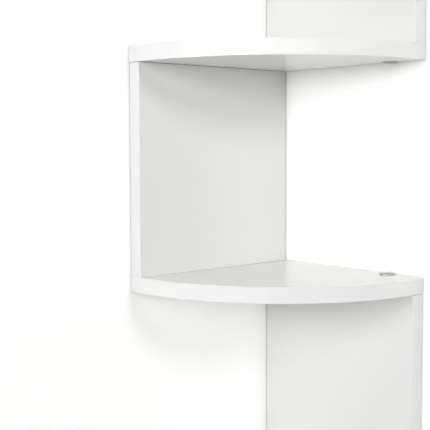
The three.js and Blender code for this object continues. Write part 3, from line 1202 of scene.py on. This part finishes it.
@dataclass(frozen=True)
class SidePanel(Board):
    """A side panel, numbered from 0: its board and the bands on its front and free edges."""

    @property
    def node(self) -> str:
        """The board's CAD node."""
        ends = {0: "bottom_panel", len(PANEL_WALLS) - 1: "top_panel"}
        return ends.get(self.number, f"side_panel_{self.number}")

    @property
    def wall(self) -> Wall:
        """The wall that the panel stands on."""
        return PANEL_WALLS[self.number]

    @property
    def free_below(self) -> bool:
        """Whether the lower end is free."""
        return self.number == 0

    @property
    def free_above(self) -> bool:
        """Whether the upper end is free."""
        return self.number == len(PANEL_WALLS) - 1

    @property
    def hanger(self) -> Optional[Hanger]:
        """The hanger in the panel's back, on the highest panel of each wall."""
        highest = self.number >= len(PANEL_WALLS) - len(Wall)
        return Hanger(self.wall, self.palette) if highest else None

    @property
    def ends(self) -> Pair:
        """Height of the panel's lower and upper end, with any band on them, as it was cut."""
        low, high = node_box(f"{self.node}_front_band")
        return low.z, high.z

    @property
    def thickness(self) -> float:
        """Thickness of the panel."""
        low, high = node_box(self.node)
        return (high - low).dot(Vector(map(abs, self.wall.out)))

    @property
    def width(self) -> float:
        """From the corner line to the panel's finished front edge."""
        corners = node_box(f"{self.node}_front_band")
        return max(abs(corner.dot(self.wall.along)) for corner in corners)

    def settle(self, low: float, high: float) -> Pair:
        """Gives the heights of two ends after the panel is let down. A free end stays."""
        drop = 0.0 if self.free_below else self.make.settled
        return low - drop, high if self.free_above else high - drop

    def board_mesh(self) -> Mesh:
        """Makes the board, drills it and lets any hanger in.

        Returns:
            The mesh.
        """
        foot, head = self.settle(*(corner.z for corner in node_box(self.node)))
        edge = self.width - self.band.depth

        def outline(level: float, inset: float) -> list[Vector]:
            """Gives the corners at a level, with the edge at the other wall set back."""
            corners = ((inset, foot), (edge, foot), (edge, head), (inset, head))
            return [self.wall.place(along, level, up) for along, up in corners]

        mesh = self.make.mesh(f"{self.node}_board", self.thickness, outline, self.palette)
        seat = self.hanger.seat() if self.hanger else []
        return cut(mesh, self._holes() + seat, self.palette.core)

    def _holes(self) -> list[Draft]:
        """Gives the cutters of the bolt, dowel and nut holes at each jointed end.

        Returns:
            The cutters.
        """
        joinery = self.joinery
        low, high = self.ends
        jointed = []
        if not self.free_below:
            jointed.append((f"shelf_{self.number}_up", low, UP))
        if not self.free_above:
            jointed.append((f"shelf_{self.number + 1}_down", high, -UP))
        cutters = []
        for joint, end, into in jointed:
            for kind, diameter, depth in (
                ("bolt", joinery.bolt_hole, joinery.bolt_hole_depth),
                ("dowel", joinery.dowel_hole, joinery.dowel_hole_in_panel),
            ):
                mouth = middle_of(f"{kind}_{joint}").xy.to_3d() + UP * end
                cutters.append(joinery.hole(mouth - into * OVERRUN, mouth + into * depth, diameter))
            nut = middle_of(f"barrel_nut_{joint}")
            outs = (-OVERRUN, self.thickness - joinery.nut_cover)
            back, blind = (self.wall.place(nut.dot(self.wall.along), out, nut.z) for out in outs)
            cutters.append(joinery.hole(back, blind, joinery.nut_hole))
        return cutters

    def front_band_mesh(self) -> Mesh:
        """Makes the band on the front edge.

        Returns:
            The mesh.
        """
        low, high = self.settle(*self.ends)
        ease = self.band.ease
        stations = [
            Station(self.wall.place(self.width, 0.0, height), -self.wall.along, self.wall.out, inset)
            for height, inset in ((low, ease), (low + ease, 0.0), (high - ease, 0.0), (high, ease))
        ]
        return self.band.sweep(f"{self.node}_front_edging", stations, self.thickness, self.palette)

    def end_band_mesh(self) -> Mesh:
        """Makes the band on the free end, which runs from the front band to the corner.

        Returns:
            The mesh.
        """
        low, high = self.ends
        height, inward = (high, -UP) if self.free_above else (low, UP)
        ease = self.band.ease
        stations = [
            Station(self.wall.place(along, 0.0, height), inward, self.wall.out, inset)
            for along, inset in ((self.width - self.band.depth, 0.0), (ease, 0.0), (0.0, ease))
        ]
        return self.band.sweep(f"{self.node}_end_edging", stations, self.thickness, self.palette)

    def build(self) -> None:
        """Builds the panel's pieces."""
        node = self.node
        piece(f"{node}_board", self.board_mesh(), node, Slot.LAMINATE)
        piece(f"{node}_front_edging", self.front_band_mesh(), f"{node}_front_band", Slot.EDGING)
        if self.free_below or self.free_above:
            piece(f"{node}_end_edging", self.end_band_mesh(), f"{node}_end_band", Slot.EDGING)
        if self.hanger:
            self.hanger.build()


# Connectors


@dataclass(frozen=True)
class Connectors:
    """The three fittings of each joint: connector bolt, barrel nut and fluted dowel."""

    palette: Palette
    bolt_length: float = 50 * MM  # under the head
    bolt_diameter: float = 6 * MM
    bolt_chamfer: float = 0.8 * MM
    head_diameter: float = 15 * MM
    head_height: float = 1.2 * MM
    head_arris: float = 0.4 * MM
    head_dome: float = 0.45 * MM  # how much the head rises to its middle
    dome_rings: int = 5
    arris_steps: int = 5
    socket_sides: int = 6
    socket_width: float = 4 * MM  # across its flats
    socket_depth: float = 3 * MM
    socket_rim: float = 4.9 * MM  # diameter of the countersink round it
    turn_step: float = 0.35  # angle between one bolt's socket and the next one's
    plain_length: float = 22 * MM  # of the shank, without a thread
    thread_pitch: float = 1 * MM
    thread_depth: float = 0.55 * MM
    thread_rings: int = 4  # rings of faces in one turn of the thread
    nut_diameter: float = 10 * MM
    nut_length: float = 12 * MM
    nut_chamfer: float = 0.4 * MM
    nut_hole: float = 6.3 * MM
    nut_slot_width: float = 1.2 * MM
    nut_slot_depth: float = 1.6 * MM
    dowel_diameter: float = 8 * MM
    dowel_length: float = 30 * MM
    dowel_chamfer: float = 1 * MM
    dowel_flutes: int = 20
    flute_depth: float = 0.35 * MM
    flute_sides: int = 6  # faces round one flute
    sides: int = 48

    def bolt_mesh(self, turn: float) -> Mesh:
        """Makes the bolt, whose head lies below z = 0 and whose shank runs up from there.

        Args:
            turn: How far the bolt is screwed round.

        Returns:
            The mesh.
        """
        radius, height, arris = self.head_diameter / 2, self.head_height, self.head_arris
        shank = self.bolt_diameter / 2
        profile = []
        for ring in range(self.dome_rings):
            share = ring / self.dome_rings
            profile.append(((radius - arris) * share, -height + self.head_dome * share ** 2))
        for step in range(self.arris_steps + 1):
            angle = QUARTER * step / self.arris_steps
            drop = self.head_dome + arris * (1 - math.cos(angle))
            profile.append((radius - arris + arris * math.sin(angle), -height + drop))
        profile += [(radius, -HOLD), (radius, 0.0), (shank, 0.0), (shank, self.plain_length)]
        length = self.bolt_length - self.bolt_chamfer - self.plain_length
        count = round(length / self.thread_pitch * self.thread_rings)
        for step in range(1, count + 1):
            profile.append((shank, self.plain_length + length * step / count))
        profile += [(shank - self.bolt_chamfer, self.bolt_length), (0.0, self.bolt_length)]

        def threaded(ring_radius: float, place: float, angle: float) -> float:
            """Cuts the thread into the shank beyond its plain part."""
            cuts = ring_radius == shank and place > self.plain_length
            return ring_radius - cuts * groove(place, angle - turn, self.thread_pitch, self.thread_depth)

        rounded = range(self.dome_rings + 1, self.dome_rings + self.arris_steps)
        body = Draft().turn(
            profile,
            self.sides,
            arris_at=lambda ring: float(ring in rounded),
            radius_at=threaded,
        )
        mesh = body.mesh("connector_bolt", [self.palette.steel])
        outside = -height - OVERRUN
        corner = self.socket_width / (2 * math.cos(math.pi / self.socket_sides))
        floor = UP * (self.socket_depth - height)
        socket = bar(UP * outside, floor, corner, self.socket_sides, turn)
        rim = self.socket_rim / 2
        cone = [(0.0, outside), (rim + OVERRUN, outside), (rim, -height), (0.0, rim - height)]
        return cut(mesh, [socket, Draft().turn(cone, self.sides)], self.palette.steel)

    def nut_mesh(self) -> Mesh:
        """Makes the nut about its own Z axis, with the slotted end at the top.

        Returns:
            The mesh.
        """
        radius, half, chamfer = self.nut_diameter / 2, self.nut_length / 2, self.nut_chamfer
        inner = radius - chamfer
        top = [(radius, half - chamfer - HOLD), (radius, half - chamfer)]
        top += [(inner, half), (inner - HOLD, half), (0.0, half)]
        profile = [(reach, -height) for reach, height in reversed(top)] + top
        chamfered = (2, 3, 6, 7)  # the rings at the chamfers' edges
        body = Draft().turn(profile, self.sides, arris_at=lambda ring: float(ring in chamfered))
        mesh = body.mesh("barrel_nut", [self.palette.steel])
        reach = radius + OVERRUN
        through = Vector((0.0, reach, 0.0))
        hole = bar(-through, through, self.nut_hole / 2, self.sides)
        width = self.nut_slot_width / 2
        slot = oblong(reach, -width, width, half - self.nut_slot_depth)
        cutters = [hole, prism(slot, UP * (self.nut_slot_depth + OVERRUN))]
        return cut(mesh, cutters, self.palette.steel)

    def dowel_mesh(self) -> Mesh:
        """Makes the dowel, which stands on z = 0.

        Returns:
            The mesh.
        """
        radius, chamfer, length = self.dowel_diameter / 2, self.dowel_chamfer, self.dowel_length
        profile = [(0.0, 0.0), (radius - chamfer, 0.0), (radius, chamfer)]
        profile += [(reach, length - height) for reach, height in reversed(profile)]

        def fluted(ring_radius: float, height: float, angle: float) -> float:
            """Presses the flutes into the dowel's side."""
            wave = 0.5 - 0.5 * math.cos(angle * self.dowel_flutes)
            return ring_radius - self.flute_depth * wave ** 2

        body = Draft().turn(profile, self.dowel_flutes * self.flute_sides, radius_at=fluted)
        return body.mesh("fluted_dowel", [self.palette.beech])

    def build(self) -> None:
        """Builds every joint's bolt, nut and dowel, each placed by the middle of its node."""
        nut, dowel = self.nut_mesh(), self.dowel_mesh()
        bolt_back = (self.bolt_length - self.head_height) / 2  # from the middle to under the head
        turn = 0.0
        for shelf in range(1, len(PANEL_WALLS)):
            for direction in Direction:
                wall = PANEL_WALLS[shelf if direction is Direction.GOES_UP else shelf - 1]
                into = direction.axis
                turn += self.turn_step
                for name, kind, mesh, slot, axis, side, back in (
                    ("connector", "bolt", self.bolt_mesh(turn), Slot.STEEL, into, wall.along, bolt_back),
                    ("slotted", "barrel_nut", nut, Slot.STEEL, -wall.out, into, 0.0),
                    ("fluted", "dowel", dowel, Slot.BEECH, into, wall.along, self.dowel_length / 2),
                ):
                    node = f"{kind}_shelf_{shelf}_{direction.value}"
                    matrix = standing(middle_of(node) - axis * back, axis, side)
                    piece(f"{name}_{node}", mesh, node, slot, matrix)


# Studio


@dataclass(frozen=True)
class PhotoCamera:
    """The camera at the photograph's viewpoint. Lengths are in metres and angles in degrees."""

    place: Place = (0.72423, -0.71797, 0.53162)
    yaw: float = 48.855  # to the left of the Y axis
    pitch: float = 3.874  # how far it looks down
    roll: float = -0.208
    focal_pixels: float = 927.5  # focal length in pixels of the photograph
    frame_pixels: float = 430.0  # width and height of the photograph
    axis_pixel_x: float = 218.0  # column of the optical axis in the photograph
    axis_pixel_y: float = 206.0  # row of the optical axis in the photograph
    sensor: float = 36.0  # width in millimetres

    def build(self) -> None:
        """Makes the camera."""
        data = bpy.data.cameras.new("photo_camera")
        data.sensor_width = self.sensor
        data.lens = self.sensor * self.focal_pixels / self.frame_pixels
        half = self.frame_pixels / 2
        data.shift_x = (half - self.axis_pixel_x) / self.frame_pixels
        data.shift_y = (self.axis_pixel_y - half) / self.frame_pixels
        camera = new_object("photo_camera", data)
        turn = Matrix.Rotation(math.radians(self.yaw), 4, "Z")
        tilt = Matrix.Rotation(math.radians(90 - self.pitch), 4, "X")
        roll = Matrix.Rotation(math.radians(self.roll), 4, "Z")
        camera.matrix_world = Matrix.Translation(self.place) @ turn @ tilt @ roll
        bpy.context.scene.camera = camera


@dataclass(frozen=True)
class BackdropFinish:
    """Matt white paint of the backdrop, with painted shade near the unit's pieces.

    Its lift is light that only a camera or glossy ray sees, so that the paint reads white.
    """

    colour: Colour = (0.86, 0.86, 0.855)
    deep: Colour = (0.4, 0.4, 0.39)  # painted shade, the colour deep in a gap against the unit's pieces
    lift: float = 0.235  # near the unit
    far_lift: float = 0.9  # far from it, where little light falls
    near: float = 0.9  # where the lift starts to grow
    far: float = 3.0  # where it has grown
    lift_shade_reach: float = 18 * MM  # painted shade: how far from the unit's pieces the lift fades out
    paint_shade_reach: float = 2 * MM  # painted shade: how far from them the paint darkens
    leak: float = 1.2 * MM  # how close to a wall a piece still gets light through it

    def build(self, one_sided: bool) -> Material:
        """Builds the material.

        Args:
            one_sided: Whether the surface is open from behind.

        Returns:
            The material.
        """
        material, graph = blank_material("backdrop_paint")
        path = graph.add("LightPath").outputs
        mirrored = path["Is Glossy Ray"]
        # Painted shade: near the unit's pieces the paint turns towards its darkest colour; glossy rays see
        # it plain.
        paint_shade_ao = graph.add("AmbientOcclusion", {"Distance": self.paint_shade_reach}).outputs["AO"]
        paint_unshaded = graph.math("MAXIMUM", paint_shade_ao, mirrored)
        colour = graph.blend(paint_unshaded, self.deep, self.colour)
        paint = graph.add("BsdfDiffuse", {"Color": colour}).outputs[0]
        # Painted shade: the lift that the camera sees fades out near the unit's pieces.
        lift_shade_ao = graph.add("AmbientOcclusion", {"Distance": self.lift_shade_reach}).outputs["AO"]
        straight = graph.math("MULTIPLY", path["Is Camera Ray"], lift_shade_ao)
        seen = graph.math("MAXIMUM", straight, mirrored)
        away = graph.add("VectorMath", {0: graph.coordinates()}, operation="LENGTH").outputs["Value"]
        lift = graph.ramp(away, (self.near, self.far), (self.lift, self.far_lift))
        shine = graph.add("Emission", {"Strength": graph.math("MULTIPLY", seen, lift)}).outputs[0]
        surface = graph.add("AddShader", {0: paint, 1: shine}).outputs[0]
        if one_sided:
            near = graph.math("LESS_THAN", path["Ray Length"], self.leak)
            leaking = graph.math("MULTIPLY", path["Is Shadow Ray"], near)
            behind = graph.add("NewGeometry").outputs["Backfacing"]
            behind = graph.math("MAXIMUM", behind, leaking)
            clear = graph.add("BsdfTransparent").outputs[0]
            surface = graph.add("MixShader", {0: behind, 1: surface, 2: clear}).outputs[0]
        graph.add("OutputMaterial", {"Surface": surface})
        return material


@dataclass(frozen=True)
class Backdrop:
    """The two pale walls that the unit hangs on, open from behind, and the floor below it."""

    overlap: float = 0.05 * MM  # of each wall and the unit's back, so that no gap shows
    wall_reach: float = 0.4  # from the corner
    wall_height: float = 2.15  # above the floor
    floor_reach: float = 6.0
    floor_drop: float = 0.45  # below the unit
    finish: BackdropFinish = BackdropFinish()

    def build(self) -> None:
        """Builds the walls and the floor."""
        floor = -self.floor_drop
        heights = (floor, floor, floor + self.wall_height, floor + self.wall_height)
        paint = self.finish.build(one_sided=True)
        corner = Vector((self.overlap, -self.overlap, 0.0))
        for wall in Wall:
            near, far = corner, corner + wall.along * self.wall_reach
            if wall is Wall.RIGHT:
                near, far = far, near  # so that its front faces the room too
            corners = [end + UP * height for end, height in zip((far, near, near, far), heights)]
            self._sheet(f"{wall.value}_backdrop", corners, paint)
        reach = self.floor_reach
        paint = self.finish.build(one_sided=False)
        self._sheet("pale_floor", oblong(reach, -reach, reach, floor), paint)

    @staticmethod
    def _sheet(name: str, corners: Sequence[Vector], paint: Material) -> None:
        """Makes one flat sheet of the backdrop.

        Args:
            name: Its name.
            corners: Its four corners.
            paint: Its finish.
        """
        mesh = bpy.data.meshes.new(name)
        mesh.from_pydata([tuple(corner) for corner in corners], [], [range(len(corners))])
        mesh.materials.append(paint)
        new_object(name, mesh)
        log.info("%s is part of the stage", name)


@dataclass(frozen=True)
class Lamp:
    """A soft oblong lamp that stands round the unit."""

    name: str
    azimuth: float  # degrees, from the left wall's direction at 0 to the right wall's at 90
    distance: float  # from the corner
    level: float  # height of its middle
    width: float
    height: float
    power: float  # watts

    def build(self, aim: Vector) -> None:
        """Makes the lamp.

        Args:
            aim: The point that it faces.
        """
        angle = math.radians(self.azimuth)
        away = Wall.LEFT.along * math.cos(angle) + Wall.RIGHT.along * math.sin(angle)
        data = bpy.data.lights.new(self.name, "AREA")
        data.shape = "RECTANGLE"
        data.size = self.width
        data.size_y = self.height
        data.energy = self.power
        lamp = new_object(self.name, data)
        lamp.location = away * self.distance + UP * self.level
        lamp.rotation_mode = "QUATERNION"
        lamp.rotation_quaternion = (aim - lamp.location).to_track_quat("-Z", "Y")
        log.info("%s gives %.0f watts", self.name, self.power)


@dataclass(frozen=True)
class Studio:
    """Soft light from all round, a row of lamps in front, one above and one behind the walls."""

    surround: float = 0.07  # strength of the light from all round
    surround_colour: Colour = (1.0, 1.0, 0.97)
    white: Colour = (1.0, 1.0, 1.0)  # what a camera or glossy ray sees
    aim: Place = (0.1, -0.1, 0.5)  # the point that the lamps face
    lamps: tuple[Lamp, ...] = (
        Lamp("left_lamp", 0, 1.8, 0.82, 0.35, 0.35, 6.9),
        Lamp("left_front_lamp", 22, 1.8, 0.84, 0.35, 1.0, 9.0),
        Lamp("right_lamp", 90, 1.8, 1.2, 0.35, 0.35, 8.2),
        Lamp("far_front_lamp", 44, 3.4, 1.05, 3.4, 0.7, 34.0),
        Lamp("top_lamp", 45, 0.8, 2.7, 0.9, 0.9, 5.0),
        Lamp("back_lamp", 228, 2.4, 1.5, 1.6, 1.6, 42.0),
    )

    def build(self) -> None:
        """Makes the world and the lamps."""
        world = bpy.data.worlds.new("soft_surround")
        world.use_nodes = True
        world.node_tree.nodes.clear()
        graph = Graph(world.node_tree)
        path = graph.add("LightPath").outputs
        seen = graph.math("MAXIMUM", path["Is Camera Ray"], path["Is Glossy Ray"])
        colour = graph.blend(seen, self.surround_colour, self.white)
        strength = graph.ramp(seen, results=(self.surround, 1.0))
        sky = graph.add("Background", {"Color": colour, "Strength": strength})
        graph.add("OutputWorld", {"Surface": sky.outputs[0]})
        bpy.context.scene.world = world
        bpy.context.scene.view_settings.view_transform = "Standard"
        for lamp in self.lamps:
            lamp.build(Vector(self.aim))


def main() -> None:
    """Builds the unit's pieces, then the studio round them."""
    logging.basicConfig(level=logging.INFO, format="%(name)s: %(message)s")
    PhotoCamera().build()
    palette = Palette()
    for number in range(len(PANEL_WALLS)):
        SidePanel(number, palette).build()
    for number in range(1, len(PANEL_WALLS)):
        Shelf(number, palette).build()
    Connectors(palette).build()
    Backdrop().build()
    Studio().build()


if __name__ == "__main__":
    main()
